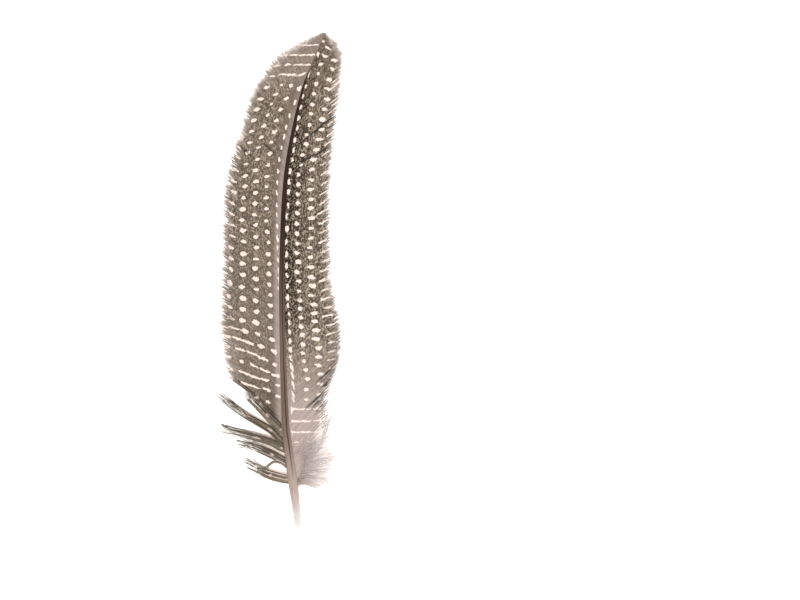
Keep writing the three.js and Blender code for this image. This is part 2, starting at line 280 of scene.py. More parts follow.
class FeatherColours(bpy.types.PropertyGroup):
    ground: colour_property("Ground", "The vanes' grey brown", "#736558")
    # Also the painted shade on the torn locks' upper side.
    dark_ground_and_lock_shade: colour_property("Dark ground", "The narrow vane beside the shaft", "#261b10")
    # Also the painted sheen strip beside the wide vane's shaft.
    pale_ground_and_sheen: colour_property("Pale ground", "The strip beside the shaft and the foot", "#b7a79f")
    margin: colour_property("Margin", "The frayed ends of the barbs", "#cabdb3")
    # Painted shade in the crevices between barbs that have come apart; the dark flecks use this colour too.
    crevice_shade_and_dark_marks: colour_property("Crevice", "Between barbs that have come apart", "#120c08")
    fleck: colour_property("Flecks", "The fine pale flecks between the spots", "#b3a48f")
    spot: colour_property("Spots", "The spots and bars", "#ecdacf")
    # Also the painted shade line along the shaft's furrow.
    shaft_dark_and_furrow_shade: colour_property("Upper shaft", "The shaft's upper half", "#2a1f17")
    shaft_brown: colour_property("Lower shaft", "The shaft's lower half", "#6d5b4d")
    quill: colour_property("Quill", "The bare quill", "#b6a39a")
    # Also the painted highlight along the shaft's edge on the wide vane's side.
    quill_end_and_highlight: colour_property("Quill end", "The quill at its cut end", "#e2dad5")
    olive: colour_property("Loose locks", "The lit side of the torn locks", "#9a8f7c")
    down: colour_property("Down", "The down at its roots", "#a98f86")
    down_tip: colour_property("Down tips", "The down at its tips", "#f9f3f0")
    table: colour_property("Table", "The white table", "#fcfcfc")


def smooth(a):
    """An even step: 0 below 0, 1 above 1, and 3 a^2 - 2 a^3 between."""
    a = np.clip(a, 0, 1)
    return a * a * (3 - 2 * a)


def spline(points, t):
    """Places on the smooth line through the points, t from 0 to 1: a uniform Catmull-Rom curve whose ends
    go on straight."""
    points = np.asarray(points, float)
    held = np.vstack([2 * points[0] - points[1], points, 2 * points[-1] - points[-2]])
    s = np.clip(t, 0, 1) * (len(points) - 1)
    k = np.minimum(s.astype(int), len(points) - 2)
    w = (s - k)[..., None]
    a, b, c, d = held[k], held[k + 1], held[k + 2], held[k + 3]
    return b + 0.5 * w * (c - a + w * (2 * a - 5 * b + 4 * c - d + w * (3 * (b - c) + d - a)))


FINE = np.linspace(0, 1, 2001)
SHAFT_LINE = spline(SHAFT, FINE)


def shaft_at(y):
    """The shaft's middle across, its height and its width at places along the feather."""
    return tuple(np.interp(y, SHAFT_LINE[:, 1], SHAFT_LINE[:, k]) for k in (0, 2, 3))


def barb_number(side, place):
    """The parameter t of the barb that grows from a place along the shaft."""
    return np.interp(place, spline(VANES[side], FINE)[:, 0], FINE)


def vane_points(side, t, v):
    """A vane's middle surface: t picks the barb, from the lowest to the last, and v the place along it. In
    plan a barb is a quadratic curve from the shaft to its tip, bowed towards the feather's tip. Its height
    falls from the shaft's to the table's on an even step, with half a sine wave added."""
    root_y, tip_x, tip_y = np.moveaxis(spline(VANES[side], t), -1, 0)
    middle, height, width = shaft_at(root_y)
    root = np.stack([middle - side * 0.2, root_y], -1)
    tip = np.stack([tip_x, tip_y], -1)
    barb = tip - root
    turn = (root + tip) / 2 + side * BOW[side] * np.stack([-barb[..., 1], barb[..., 0]], -1)
    w = v[..., None]
    plan = (1 - w) ** 2 * root + 2 * w * (1 - w) * turn + w**2 * tip
    out = np.clip(v / FLAT_MARGIN, 0, 1)
    crest = VANE_CREST * np.linalg.norm(barb, axis=-1) / LONGEST_BARB * np.sin(np.pi * out)
    start = height + 0.15 * width
    level = start + (MARGIN_HEIGHT - start) * smooth(out) + crest
    return np.concatenate([plan, level[..., None]], -1)


def directions(paths):
    """Each path's own direction at its points, and the level and the upright direction square to it."""
    along = np.gradient(paths, axis=-2)
    along /= np.linalg.norm(along, axis=-1, keepdims=True) + 1e-12
    across = np.cross(along, (0, 0, 1))
    across /= np.linalg.norm(across, axis=-1, keepdims=True) + 1e-12
    return along, across, np.cross(across, along)


def within_reach(places):
    """Places seen from above, kept within a hair's stray of the solid's box."""
    low, high = CAD_BOX[:, :2] / MM
    return np.clip(places, low - STRAY, high + STRAY)


def strands(paths, widths, heights, lean=0.0):
    """Closed three-sided strands along paths: at each point the two edges and the ridge over the path,
    turned by an angle round it. Gives the corners as strands x points x 3 x 3."""
    _, across, above = directions(paths)
    edge = (across * np.cos(lean) + above * np.sin(lean)) * widths[..., None] / 2
    ridge = (above * np.cos(lean) - across * np.sin(lean)) * heights[..., None]
    corners = paths[:, :, None] + np.stack([edge, ridge, -edge], 2)
    corners[..., 2] = np.maximum(corners[..., 2], 0.01)
    return corners


def strand_faces(shape, first):
    """The faces of closed strands, numbered from first: the sides in fours and the two ends in threes."""
    number, steps = shape[:2]
    ids = first + np.arange(number * steps * 3).reshape(number, steps, 3)
    turned = np.roll(ids, -1, 2)
    sides = np.stack([ids[:, :-1], ids[:, 1:], turned[:, 1:], turned[:, :-1]], -1)
    return sides.reshape(-1, 4), np.concatenate([ids[:, 0], ids[:, -1, ::-1]])


def joined(parts):
    """Bundles of strands as one: each part is its corners and its values by name, given for each corner.
    Gives the points, the faces in fours and in threes, and the values."""
    fours, threes = [], []
    first = 0
    for corners, _ in parts:
        sides, ends = strand_faces(corners.shape, first)
        fours.append(sides)
        threes.append(ends)
        first += corners[..., 0].size
    points = np.concatenate([corners.reshape(-1, 3) for corners, _ in parts])
    values = {}
    for key in parts[0][1]:
        filled = [
            np.broadcast_to(part[key], (*corners.shape[:3], part[key].shape[-1])) for corners, part in parts
        ]
        values[key] = np.concatenate([value.reshape(-1, value.shape[-1]) for value in filled])
    return points, (np.concatenate(fours), np.concatenate(threes)), values


def mesh_of(name, points, faces, uv_maps, attributes, shade_smooth=False):
    """A mesh object from points in millimetres and faces in fours and threes, with UV maps given point by
    point or corner by corner, and with attributes of three numbers given point by point."""
    fours, threes = faces
    corners = np.concatenate([fours.ravel(), threes.ravel()])
    starts = np.concatenate([4 * np.arange(len(fours)), fours.size + 3 * np.arange(len(threes))])
    mesh = bpy.data.meshes.new(name)
    mesh.vertices.add(len(points))
    mesh.vertices.foreach_set("co", (points * MM).astype(np.float32).ravel())
    mesh.loops.add(len(corners))
    mesh.loops.foreach_set("vertex_index", corners.astype(np.int32))
    mesh.polygons.add(len(starts))
    mesh.polygons.foreach_set("loop_start", starts.astype(np.int32))
    mesh.update(calc_edges=True)
    for key, values in uv_maps.items():
        at_corners = values if len(values) == len(corners) else values[corners]
        mesh.uv_layers.new(name=key).data.foreach_set("uv", at_corners.astype(np.float32).ravel())
    for key, values in attributes.items():
        made = mesh.attributes.new(key, "FLOAT_VECTOR", "POINT")
        made.data.foreach_set("vector", values.astype(np.float32).ravel())
    mesh.polygons.foreach_set("use_smooth", np.full(len(starts), shade_smooth))
    mesh.update()
    piece = bpy.data.objects.new(name, mesh)
    bpy.context.scene.collection.objects.link(piece)
    return piece


def bake_map(points, faces, side):
    """A map for baking, as seen from above: distance from the shaft against the place along the feather, cut
    in three lengths that lie side by side so that they fill a square. It is given corner by corner."""
    lengths = 3
    middle, _, _ = shaft_at(points[:, 1])
    out = side * (points[:, 0] - middle)
    u = (out - out.min()) / (out.max() - out.min())
    low, high = points[:, 1].min(), points[:, 1].max()
    s = (points[:, 1] - low) / (high - low) * lengths
    maps = []
    for group in faces:
        band = np.clip(np.floor(s[group].mean(1)), 0, lengths - 1)[:, None]
        places = [(band + 0.02 + 0.96 * u[group]) / lengths, 0.03 + 0.94 * (s[group] - band)]
        maps.append(np.stack(places, -1).reshape(-1, 2))
    return np.concatenate(maps)


def finish_piece(piece, material):
    """Gives a piece its material, and tells the frame what it stands for."""
    piece.data.materials.append(material)
    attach(piece, "root")
    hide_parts(NODE)


# Settings that many nodes share: a mix of two colours, its share in socket 0 and they in 6 and 7, and an
# even step in place of a straight one
MIX = {"data_type": "RGBA", "output": 2}
EVEN = {"interpolation_type": "SMOOTHSTEP"}


def add(tree, kind, inputs=(), output=0, **settings):
    """Adds a shader node with its settings, and fills its sockets with values or with other nodes' outputs,
    in order from a list or by name or number. Gives one of its outputs, or several. In a MapRange's list a
    value is followed by the two that it turns to 0 and to 1, and then by what they turn to instead."""
    made = tree.nodes.new("ShaderNode" + kind)
    for key, value in settings.items():
        setattr(made, key, value)
    for key, value in inputs.items() if isinstance(inputs, dict) else enumerate(inputs):
        if isinstance(value, bpy.types.NodeSocket):
            tree.links.new(value, made.inputs[key])
        else:
            made.inputs[key].default_value = value
    if isinstance(output, tuple):
        return [made.outputs[key] for key in output]
    return made.outputs[output]


def new_material(name, roughness, specular=0.5, ior=1.55):
    """A material whose colour is still to be set. Keratin's IOR is about 1.55, and loose barbs trap light,
    so they have less of its gloss."""
    material = bpy.data.materials.new(name)
    material.use_nodes = True
    shader = material.node_tree.nodes["Principled BSDF"]
    shader.inputs["Roughness"].default_value = roughness
    shader.inputs["IOR"].default_value = ior
    shader.inputs["Specular IOR Level"].default_value = specular
    return material, material.node_tree, shader


def along_feather(rows, y, column=1):
    """A value that changes along the feather, from rows of a place and the values there."""
    table = np.array(rows, float)
    order = np.argsort(table[:, 0])
    return np.interp(y, table[order, 0], table[order, column])


def column_number(side, y, out):
    """The number of the spots' column at a place, with what lies between two columns in proportion, and the
    distance between the columns there."""
    lines = np.stack([along_feather(COLUMNS[side], y, k) for k in range(1, COLUMNS[side].shape[1])], -1)
    steps = np.diff(lines, axis=-1)
    share = np.clip((out[..., None] - lines[..., :-1]) / steps, 0, 1)
    beyond = np.maximum(out - lines[..., -1], 0) / steps[..., -1]
    before = np.minimum(out - lines[..., 0], 0) / steps[..., 0]
    number = 1 + share.sum(-1) + beyond + before
    k = np.clip(np.floor(number - 0.5).astype(int), 0, steps.shape[-1] - 1)
    return number, np.take_along_axis(steps, k[..., None], -1)[..., 0]


def shapes_at(y, *tables):
    """Spots' half width, half height and tilt, each from its own rows along the feather."""
    return np.stack([along_feather(table, y) for table in tables], -1)


def in_bars(side, number, row):
    """Where a row's spots run together into a bar."""
    inside = np.zeros(number.shape, bool)
    for bar, first, last in BARS[side]:
        inside |= (np.rint(row) == bar) & (number > first - 0.5) & (number < last + 0.5)
    return inside[..., None]


def wide_spots(y, number, row, spacing):
    """The wide vane's spots. They are tall beside the shaft, round and wide further out, slanting streaks on
    the margin, and bars near the tip and low down."""
    body = shapes_at(
        y,
        [(80, 1.2), (72, 0.95), (45, 0.92), (20, 0.98), (0, 1.15), (-12, 1.2), (-50, 1.1)],
        [(80, 0.4), (72, 0.6), (45, 0.64), (20, 0.74), (0, 0.8), (-20, 0.84), (-34, 0.7), (-44, 0.5)],
        [(75, -0.1), (45, -0.35), (20, 0.1), (0, 0.25), (-50, 0.5)],
    )
    beside_shaft = shapes_at(
        y,
        [(83, 0.9), (77, 1.4), (73, 1.2), (68, 0.42), (20, 0.36), (-3, 0.26), (-6, 0.01)],
        [(83, 0.33), (73, 0.36), (68, 0.85), (0, 1.3)],
        [(80, -0.1), (77, -0.4), (72, -0.4), (68, -0.15)],
    )
    margin = shapes_at(
        y,
        [(80, 0.7), (60, 1.0), (45, 1.5), (15, 1.6), (8, 1.1), (-12, 1.1), (-17, 1.7), (-24, 0.9)],
        [(80, 0.3), (45, 0.4), (15, 0.42), (8, 0.6), (-12, 0.55)],
        [(60, 0.6), (15, 0.55), (0, 0.7), (-14, 0.46)],
    )
    inner = np.where((number < 1.5)[..., None], beside_shaft, body)
    size = np.where((number > 4.5)[..., None], margin, inner)
    slope = along_feather([(79, 0.0), (60, 0.45), (0, 0.35)], y)
    thickness = along_feather([(70, 0.36), (0, 0.5)], y)
    bar = np.stack([0.75 * spacing, thickness, slope], -1)
    size = np.where(in_bars(WIDE, number, row), bar, size)
    gone = ((number > 5.5) & (y > -14)) | ((number > 4.5) & (y > 74)) | (y > 89)
    return np.where(gone[..., None], NO_SPOT, size)


def narrow_spots(y, number, row, spacing):
    """The narrow vane's spots: tall beside the shaft, round, wide, and slanting streaks on the margin, with
    bars right across at the foot."""
    by_column = np.array([
        (0.5, 0.95, 0.0),
        (0.98, 0.78, -0.2),
        (1.2, 0.68, -0.1),
        (2.2, 0.34, 0.15),
        NO_SPOT,
    ])
    k = np.clip(np.rint(number).astype(int) - 1, 0, 4)
    size = by_column[k]
    size[..., 2] += np.where(k == 2, along_feather([(65, -0.35), (45, 0)], y), 0)
    size[..., 2] += np.where(k == 3, along_feather([(75, 0.6), (50, 0.45), (20, 0.25), (-10, 0)], y), 0)
    size[..., :2] *= along_feather([(88, 0.75), (70, 0.9), (30, 1.0), (-22, 1.1), (-34, 0.85)], y)[..., None]
    size = np.where(((y > 83) & (k == 1))[..., None], (2.3, 0.42, -0.45), size)
    size = np.where(((y > 81) & (k == 0))[..., None], (1.1, 0.4, -0.7), size)
    zigzag = (k == 0) & (y < -29)
    size = np.where(zigzag[..., None], (0.4, 2.0, 0.2), size)
    bar = np.stack([0.58 * spacing, np.full_like(y, 0.38), np.zeros_like(y)], -1)
    size = np.where(in_bars(NARROW, number, row), bar, size)
    dots = (row > 38.5)[..., None] & (row < 39.5)[..., None]
    size = np.where(dots, (0.9, 0.2, 0), size)
    near_tip = ((y > 78) & (y < 81) & (k == 0)) | ((y > 84) & (k > 1)) | (row < -2.5)
    gone = near_tip | (row > 39.5) | ((number > 3.5) & (row > 35.5))
    return np.where(gone[..., None], NO_SPOT, size)


def vane_values(side, corners, barb_ids, along, tone, crevice_shade_and_dark_marks, frayed):
    """The values that a vane's material reads at each corner: where it is among the spots' cells, the cells'
    and the spots' sizes, how dark, pale and flecked the ground is, and the place on the barb."""
    x, y = corners[..., 0], corners[..., 1]
    middle, _, _ = shaft_at(y)
    number, spacing = column_number(side, y, side * (x - middle))
    row = np.interp(-y, -np.array(ROWS[side][0]), ROWS[side][1])
    if side == WIDE:
        # The rows rise outwards. Near the tip they are level, and there the inner and outer columns differ.
        pitch = along_feather([(87, 3.7), (64, 4.1), (-60, 4.15)], y)
        outer = [(75, 3.6), (70, 2.7), (62, 2.2), (10, 2.2), (4, 1.8), (-7, 0.7), (-16, 1.0), (-30, 1.5)]
        inner = [(76, 0.0), (72, 0.5), (69, 1.3), (62, 2.2), (-5, 2.3), (-12, 1.8), (-20, 1.7), (-30, 2.2)]
        outer, inner = along_feather(outer, y), along_feather(inner, y)
        slant = np.where(number > 3, outer, inner)
        row = row - slant * (3 - number) / pitch
        stagger = np.zeros_like(y)
        spots = wide_spots(y, number, row, spacing)
    else:
        # Every second column stands half a row lower, down to the bars.
        pitch = along_feather([(80, 3.7), (0, 3.6), (-10, 3.25), (-36, 3.5), (-44, 4.2), (-60, 4.2)], y)
        slant = np.zeros_like(y)
        row = row + 0.22 * np.clip(number - 3, 0, 1)
        beside_shaft = np.interp(-y, -np.array(SHAFT_ROWS[0]), SHAFT_ROWS[1])
        row = np.where((number < 1.5) & (y > BARS_BEGIN), beside_shaft - 0.5, row)
        stagger = np.where(y > BARS_BEGIN, 0.5, 0.0)
        spots = narrow_spots(y, number, row, spacing)
    shape = corners.shape[:3]
    place = [np.broadcast_to(along[..., None], shape), np.broadcast_to(barb_ids[:, None, None], shape)]
    extra = [stagger, np.broadcast_to(crevice_shade_and_dark_marks[..., None], shape), np.broadcast_to(frayed[..., None], shape)]
    return {
        "cells": np.stack([number, row], -1),
        "barb": np.stack(place, -1),
        "cell": np.stack([spacing, pitch, slant], -1),
        "spot": spots,
        "tone": tone,
        "extra": np.stack(extra, -1),
    }


def vane_tone(side, corners):
    """How dark, how pale and how flecked the ground is, each from 0 to 1. The pale share holds a painted
    sheen beside the wide vane's shaft.
    """
    x, y = corners[..., 0], corners[..., 1]
    middle, _, width = shaft_at(y)
    out = side * (x - middle)
    from_shaft = out - width / 2
    if side == WIDE:
        # Painted sheen: a paler strip beside the shaft, where the barbs rise to it
        sheen_strip = along_feather([(80, 0.15), (62, 0.3), (40, 0.5), (0, 0.6), (-30, 0.7)], y)
        sheen_strip = sheen_strip * (1 - smooth((from_shaft - 0.9) / 1.4))
        tip = 0.28 * along_feather([(88, 1), (76, 1), (68, 0)], y)
        low_part = along_feather([(-16, 0), (-24, 1), (-36, 1), (-42, 0)], y)
        low_margin = 0.4 * smooth((out - 14) / 4) * low_part
        low = along_feather([(20, 0), (-10, 0.1), (-36, 0.1), (-46, 0)], y)
        dark = along_feather([(-34, 0), (-46, 0.3), (-54, 0.45)], y)
        pale = np.maximum(np.maximum(sheen_strip, tip), np.maximum(low_margin, low))
        flecks = along_feather([(84, 0.5), (66, 0.8), (20, 0.8), (-10, 0.55), (-50, 0.4)], y)
        flecks = flecks * smooth((out - 2) / 4)
    else:
        reach = along_feather([(90, 3), (60, 7), (40, 10), (0, 11), (-30, 7)], y)
        depth = [(90, 0.3), (76, 0.7), (66, 0.9), (45, 1), (0, 1), (-14, 0.9), (-26, 0.4), (-38, 0)]
        dark = along_feather(depth, y) * (0.2 + 0.8 * (1 - smooth(from_shaft / reach)))
        pale = along_feather([(-14, 0), (-26, 0.25), (-38, 0.55), (-46, 0.85), (-75, 1)], y)
        flecks = along_feather([(90, 0.7), (60, 1), (-25, 1), (-42, 0.3), (-50, 0.05)], y)
        flecks = flecks * (1 - 0.3 * dark)
    return np.stack([dark, pale, flecks], -1)


def clump_of(number, rng, least, most):
    """Deals barbs out into clumps of least to most neighbours: the number of each barb's clump, and the
    place of the clump's middle barb."""
    sizes = rng.integers(least, most + 1, number)
    ends = np.cumsum(sizes)
    ids = np.searchsorted(ends, np.arange(number), side="right")
    middles = ends - (sizes + 1) / 2
    return ids, middles[ids]


def crevices(side, order, v, places):
    """How dark the painted shade on each barb is beside the crevices, and its place in the row once they
    have pushed it aside.
    """
    per_barb = np.arange(len(places))
    depth = np.zeros_like(v)
    for place, begins, ends, strength in CREVICES[side]:
        at = np.interp(place, places, per_barb) + 1.2 * np.sin(5 * v + place)
        past = smooth((v - begins) / 0.12) * (1 - smooth((v - ends) / 0.05))
        away = (order - at) / (0.6 + 0.5 * strength * v)
        order = order + np.sign(away) * 0.4 * past * np.exp(-(away**2)) * strength
        depth = np.maximum(depth, strength * past * np.exp(-(away**2)))
    return order, depth


def vane_barbs(side, settings, rng):
    """The barbs of one vane: side by side over the vane's surface, a little uneven, drawn together in small
    clumps at the margin, where they thin out to hairs of different lengths."""
    number, steps = settings.barbs, settings.barb_steps
    places = np.linspace(VANES[side][0, 0], VANES[side][-1, 0], number)
    per_barb = np.arange(number)
    chance = rng.random((6, number))
    clumps, middles = clump_of(number, rng, 1, 5)
    length = 1.05 - 0.08 * chance[0] ** 1.5 - 0.02 * chance[1][clumps]
    v = np.linspace(0, 1, steps) * length[:, None]
    pull = 0.2 * smooth((v - FRAY_BEGINS) / 0.14) * (0.2 + 0.8 * chance[2][clumps])[:, None]
    waver = 0.4 * np.sin(7 * v + WHOLE_TURN * chance[3][:, None]) * v
    stray = 1.6 * (chance[4][:, None] - 0.5) * smooth((v - FRAY_BEGINS) / 0.12)
    order = per_barb[:, None] + (middles - per_barb)[:, None] * pull + waver + stray
    # The crevices push the barbs apart and paint shade into the gaps.
    order, crevice_shade_and_dark_marks = crevices(side, order, v, places)
    paths = vane_points(side, barb_number(side, np.interp(order, per_barb, places)), v)
    ripple = 0.1 * np.sin(per_barb / 9.0)[:, None] * np.sin(np.pi * np.clip(v, 0, 1)) ** 2
    paths[..., 2] += ripple + 0.05 * (chance[5][:, None] - 0.5)
    step = np.linalg.norm(np.diff(paths, axis=1), axis=-1)
    along = np.concatenate([np.zeros((number, 1)), np.cumsum(step, 1)], 1)
    total = along[:, -1:]
    left = total - along

    # Dark bundles on the margin, which are common where the narrow vane is torn
    torn = np.exp(-(((places + 54) / 7) ** 2)) if side == NARROW else 0 * places
    common = (0.01 if side == WIDE else 0.08) + 0.5 * torn
    bundle = (rng.random(number)[clumps] < common)[:, None]
    strength = (0.6 + 0.25 * torn)[:, None]
    crevice_shade_and_dark_marks = np.maximum(crevice_shade_and_dark_marks, strength * bundle * smooth((5 - left) / 2) * smooth((left - 0.3) / 1.5))

    along_path, _, _ = directions(paths)
    gap = np.gradient(paths, axis=0)
    gap -= (gap * along_path).sum(-1, keepdims=True) * along_path
    spacing = np.clip(np.linalg.norm(gap, axis=-1), 0.08, 0.8)
    even = np.median(spacing, axis=0, keepdims=True)
    foot = smooth((-48 - places) / 12)[:, None] if side == NARROW else 0
    lowest = smooth((-64 - places) / 9)[:, None] if side == NARROW else 0
    usual_fray = np.minimum(3.2 + 3 * foot, (0.3 + 0.1 * foot) * total)
    fray_length = usual_fray * (1 - lowest) + 0.85 * total * lowest
    thinning = 1 - (0.55 + 0.2 * foot) * smooth(1 - left / fray_length)
    widths = settings.barb_overlap * np.maximum(spacing, 0.8 * even) * thinning
    widths[:, -1] *= 0.3
    heights = settings.barb_height / MM * (0.3 + 0.7 * thinning)
    paths[..., 2] = np.maximum(paths[..., 2], 0.05)
    corners = strands(paths, widths, heights, -side * settings.barb_lean)
    frayed = smooth(1 - left / fray_length)
    # A few barbs on the narrow vane's upper margin are white at their ends. Past 1 the value means white.
    whitened = (side == NARROW) & (np.abs(places - 54) < 8) & (rng.random(number) < 0.16)
    frayed = np.maximum(frayed, 2 * whitened[:, None] * smooth((5.5 - left) / 1.5))
    return corners, vane_values(side, corners, per_barb, along, vane_tone(side, corners), crevice_shade_and_dark_marks, frayed)


def vane_wisps(side, settings, rng):
    """Fine hairs on a vane's margin: they leave the barbs near their tips, stray to both sides and rise.
    They are long at the foot of the narrow vane, and at the feather's tip for the short barbs there."""
    number, barbs = settings.wisps, settings.barbs
    places = np.linspace(VANES[side][0, 0], VANES[side][-1, 0], barbs)
    s = np.linspace(0, 1, 6)
    grows_at = barbs * rng.random((number, 1))
    place = np.interp(grows_at, np.arange(barbs), places)
    foot = smooth((-50 - place) / 10) if side == NARROW else 0
    start = 0.84 + 0.13 * rng.random((number, 1))
    longer = 1 + 3.5 * foot + 2 * smooth((place - 60) / 20)
    reach = start + (0.04 + 0.05 * rng.random((number, 1))) * longer * s
    turned = grows_at + (rng.random((number, 1)) - 0.5 + 0.3 * foot) * (10 + 14 * foot) * s
    paths = vane_points(side, barb_number(side, np.interp(turned, np.arange(barbs), places)), reach)
    paths[..., :2] = within_reach(paths[..., :2])
    paths[..., 2] += 0.08 + 0.5 * rng.random((number, 1)) * s
    thin = np.broadcast_to(0.1 - 0.075 * s, reach.shape)
    corners = strands(paths, thin, thin * 0.7)
    frayed = np.where(rng.random((number, 1)) < 0.2, 0.3, 1.0) * np.ones_like(reach)
    crevice_shade_and_dark_marks = np.zeros_like(reach)
    ids = barbs + np.arange(number)
    return corners, vane_values(side, corners, ids, 8 * reach, vane_tone(side, corners), crevice_shade_and_dark_marks, frayed)


def make_vane(side, name, settings, material):
    """One vane: its barbs and the fine hairs on its margin."""
    rng = np.random.default_rng(settings.seed + side)
    parts = [vane_barbs(side, settings, rng), vane_wisps(side, settings, rng)]
    points, faces, values = joined(parts)
    uv_maps = {key: values.pop(key) for key in ("cells", "barb")}
    uv_maps["OFBake"] = bake_map(points, faces, side)
    finish_piece(mesh_of(name, points, faces, uv_maps, values), material)


def vane_material(colours):
    """Keratin barbs, grown and not coated: a soft satin. The ground runs from dark to pale along the vane,
    fine flecks break it up, and crisp white spots stand in cells. Shade is painted into the crevices, and a
    painted sheen lies beside the wide vane's shaft."""
    material, tree, shader = new_material("spotted_keratin_vane", 0.6, specular=0.12)
    keys = ("cell", "spot", "tone", "extra")
    cell, shape, tone, extra = (add(tree, "Attribute", output="Vector", attribute_name=key) for key in keys)
    number, row = add(tree, "SeparateXYZ", [add(tree, "UVMap", uv_map="cells")], output=(0, 1))
    along, barb = add(tree, "SeparateXYZ", [add(tree, "UVMap", uv_map="barb")], output=(0, 1))
    spacing, pitch, slant = add(tree, "SeparateXYZ", [cell], output=(0, 1, 2))
    tilt = add(tree, "SeparateXYZ", [shape], output="Z")
    dark, pale, flecked = add(tree, "SeparateXYZ", [tone], output=(0, 1, 2))
    stagger, crevice_shade_and_dark_marks, frayed = add(tree, "SeparateXYZ", [extra], output=(0, 1, 2))

    # The nearest column and row, and the way from that cell's middle in millimetres. Odd columns stand half
    # a row lower where the stagger says so.
    column = add(tree, "Math", [number], operation="ROUND")
    odd = add(tree, "Math", [column, 2.0], operation="MODULO")
    shifted = add(tree, "Math", [odd, stagger, row], operation="MULTIPLY_ADD")
    nearest = add(tree, "Math", [shifted], operation="ROUND")
    across = add(tree, "Math", [number, column], operation="SUBTRACT")
    down = add(tree, "Math", [shifted, nearest], operation="SUBTRACT")
    x = add(tree, "Math", [across, spacing], operation="MULTIPLY")
    fall = add(tree, "Math", [down, pitch], operation="MULTIPLY")
    rise = add(tree, "Math", [across, slant], operation="MULTIPLY")
    y = add(tree, "Math", [rise, fall], operation="SUBTRACT")
    offset = add(tree, "CombineXYZ", [x, y])
    cell_id = add(tree, "CombineXYZ", [column, nearest, stagger])
    chance = add(tree, "TexWhiteNoise", [cell_id], output="Color")
    uneven = add(tree, "VectorMath", [chance, (0.5, 0.5, 0.5)], operation="SUBTRACT")
    shift = add(tree, "VectorMath", [uneven, shape], operation="MULTIPLY")
    flat_shift = add(tree, "VectorMath", [shift, (0.6, 0.6, 0.0)], operation="MULTIPLY")
    moved = add(tree, "VectorMath", [flat_shift, offset], operation="ADD")

    # A spot is an ellipse, turned by its tilt. Noise and the barbs shift its edge to and fro, as on a bird.
    object_place = add(tree, "TexCoord", output="Object")
    wander = {"Vector": object_place, "Scale": 1 / (1.0 * MM), "Detail": 1.0}
    edge_noise = add(tree, "TexNoise", wander, output="Color")
    edge_shift = add(tree, "VectorMath", [edge_noise, (0.5, 0.5, 0.5)], operation="SUBTRACT")
    warped = add(tree, "VectorMath", [edge_shift, (1.1, 1.1, 0), moved], operation="MULTIPLY_ADD")
    turn_back = add(tree, "Math", [tilt, -1.0], operation="MULTIPLY")
    turned = add(tree, "VectorRotate", {"Vector": warped, "Angle": turn_back}, rotation_type="Z_AXIS")
    scaled = add(tree, "VectorMath", [turned, shape], operation="DIVIDE")
    level = add(tree, "VectorMath", [scaled, (1, 1, 0)], operation="MULTIPLY")
    radius = add(tree, "VectorMath", [level], output="Value", operation="LENGTH")
    size = add(tree, "SeparateColor", [chance], output="Blue")
    growth = add(tree, "MapRange", [size, 0.0, 1.0, 1.22, 0.86])
    sized = add(tree, "Math", [radius, growth], operation="MULTIPLY")
    barb_chance = add(tree, "TexWhiteNoise", {"W": barb}, noise_dimensions="1D", output="Value")
    ragged = add(tree, "Math", [barb_chance, 0.3, sized], operation="MULTIPLY_ADD")
    white = add(tree, "MapRange", [ragged, 1.24, 1.06], **EVEN)
    rim = add(tree, "MapRange", [sized, 1.9, 1.3, 0.0, 0.3])

    # The ground: a grey brown, towards the dark or the pale one and darker round each spot. Real flecks are
    # a few barbules wide, about 0.2 mm. Here they are 0.4 mm long and up to two barbs wide, so that they
    # show.
    darkest = add(tree, "Math", [dark, rim], operation="MAXIMUM")
    darker = add(tree, "Mix", {0: darkest, 6: colours.ground, 7: colours.dark_ground_and_lock_shade}, **MIX)
    # Painted sheen: the pale share holds a paler strip beside the wide vane's shaft
    ground = add(tree, "Mix", {0: pale, 6: darker, 7: colours.pale_ground_and_sheen}, **MIX)
    fleck_place = add(tree, "CombineXYZ", [along, barb])
    fleck_cell = add(tree, "VectorMath", [fleck_place, (0.4, 1.4, 1.0)], operation="DIVIDE")
    fleck_id = add(tree, "VectorMath", [fleck_cell], operation="FLOOR")
    fleck = add(tree, "TexWhiteNoise", [fleck_id], noise_dimensions="2D", output="Value")
    lighter_share = add(tree, "MapRange", [fleck, 0.6, 0.8, 0.0, 0.8])
    darker_share = add(tree, "MapRange", [fleck, 0.4, 0.2, 0.0, 0.5])
    lighter = add(tree, "Math", [lighter_share, flecked], operation="MULTIPLY")
    deeper = add(tree, "Math", [darker_share, flecked], operation="MULTIPLY")
    light_flecks = add(tree, "Mix", {0: lighter, 6: ground, 7: colours.fleck}, **MIX)
    speckled = add(tree, "Mix", {0: deeper, 6: light_flecks, 7: colours.crevice_shade_and_dark_marks}, **MIX)
    shade = add(tree, "MapRange", [barb_chance, 0.0, 1.0, 0.8, 1.15])
    varied = add(tree, "VectorMath", {0: speckled, "Scale": shade}, operation="SCALE")
    fade = add(tree, "MapRange", [frayed, 0.0, 1.0, 0.0, 0.8])
    faded = add(tree, "Mix", {0: fade, 6: varied, 7: colours.margin}, **MIX)
    whitened = add(tree, "MapRange", [frayed, 1.0, 2.0])
    pure = add(tree, "Math", [white, whitened], operation="MAXIMUM")
    spotted = add(tree, "Mix", {0: pure, 6: faded, 7: colours.spot}, **MIX)
    # Painted shade in the crevices, and the dark bundles on the margin
    colour = add(tree, "Mix", {0: crevice_shade_and_dark_marks, 6: spotted, 7: colours.crevice_shade_and_dark_marks}, **MIX)
    tree.links.new(colour, shader.inputs["Base Color"])
    return material


